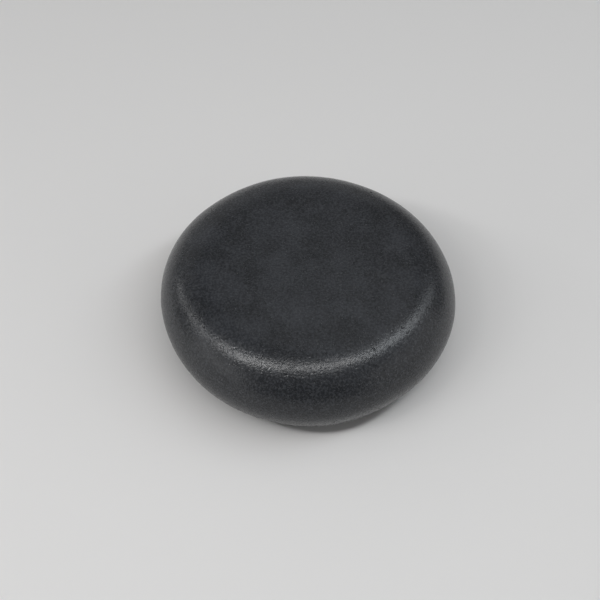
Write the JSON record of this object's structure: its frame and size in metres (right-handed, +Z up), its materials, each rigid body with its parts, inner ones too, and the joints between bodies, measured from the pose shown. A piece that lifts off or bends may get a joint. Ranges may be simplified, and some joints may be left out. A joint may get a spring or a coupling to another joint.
{
  "type": "basalt massage stone",
  "caption": "Solid round basalt pebble with two broad, nearly flat faces and a fully rounded edge, for hot stone massage.",
  "frame": {"origin": "centre of the flat face the stone lies on", "axes": "+Z up through the stone's thickness, X and Y across its broad faces"},
  "size_m": [0.0802, 0.0801, 0.0275],
  "materials": {
    "basalt": "tumbled to a smooth satin surface, with fine grain and pinhole pores"
  },
  "bodies": {
    "root": {"stone": "basalt"}
  },
  "joints": []
}
